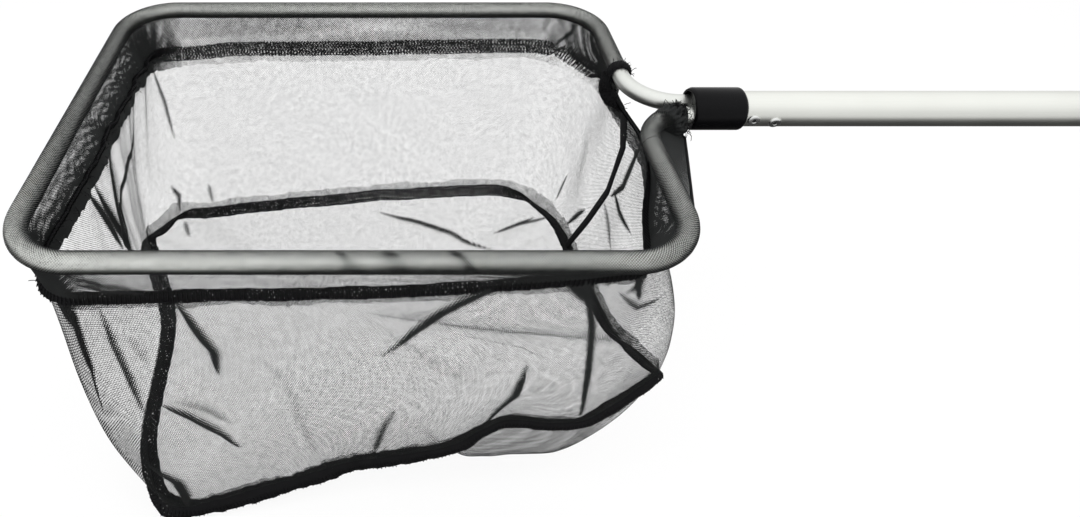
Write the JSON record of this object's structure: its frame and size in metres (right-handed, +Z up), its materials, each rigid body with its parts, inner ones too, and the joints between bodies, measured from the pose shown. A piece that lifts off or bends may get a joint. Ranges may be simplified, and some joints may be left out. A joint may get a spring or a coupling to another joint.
{
  "type": "pond net",
  "caption": "Hand-held pond net: a rounded rectangular hoop of bent aluminium tube with a deep black mesh bag, on a telescopic aluminium handle with a twist lock and a rubber grip.",
  "frame": {"origin": "middle of the end cap's flat rear face, on the handle's axis", "axes": "+X along the handle away from the net, +Z up out of the hoop's mouth, +Y across the hoop; the hoop's centre line lies in z = 0"},
  "size_m": [1.1256, 0.3175, 0.2329],
  "materials": {
    "hoop_aluminium": "satin drawn tube",
    "handle_aluminium": "satin anodised tube",
    "rivet_metal": "pressed blind rivets",
    "screw_steel": "plain steel",
    "collar_plastic": "satin moulded black",
    "lock_plastic": "satin moulded black",
    "grip_rubber": "matt",
    "net_mesh": "fine knitted black mesh",
    "seam_thread": "overlocked black thread"
  },
  "bodies": {
    "grip_end": {"inner_tube": "handle_aluminium", "guide_bush": "lock_plastic", "grip": "grip_rubber", "end_cap": "lock_plastic"},
    "net_head": {"hoop_tube": "hoop_aluminium", "collar": "collar_plastic", "leg_screw_front": "screw_steel", "leg_screw_rear": "screw_steel", "net_sleeve": "net_mesh", "sleeve_binding": "seam_thread", "sleeve_gather": "net_mesh", "rim_seam": "seam_thread", "net_wall": "net_mesh", "closing_seam": "seam_thread", "floor_seam": "seam_thread", "net_floor": "net_mesh", "handle_tube": "handle_aluminium", "rivet_front": "rivet_metal", "rivet_rear": "rivet_metal", "lock_bush": "lock_plastic", "lock_collet": "lock_plastic"},
    "lock_nut": {"lock_nut": "lock_plastic"}
  },
  "joints": [
    {"name": "telescope", "type": "slide", "parent": "grip_end", "child": "net_head", "axis": [-1, 0, 0], "range_m": [0, 0.4]},
    {"name": "lock_turn", "type": "hinge", "parent": "net_head", "child": "lock_nut", "pos_m": [-0.1373, 0, 0], "axis": [1, 0, 0], "range_deg": [0, 120]}
  ]
}
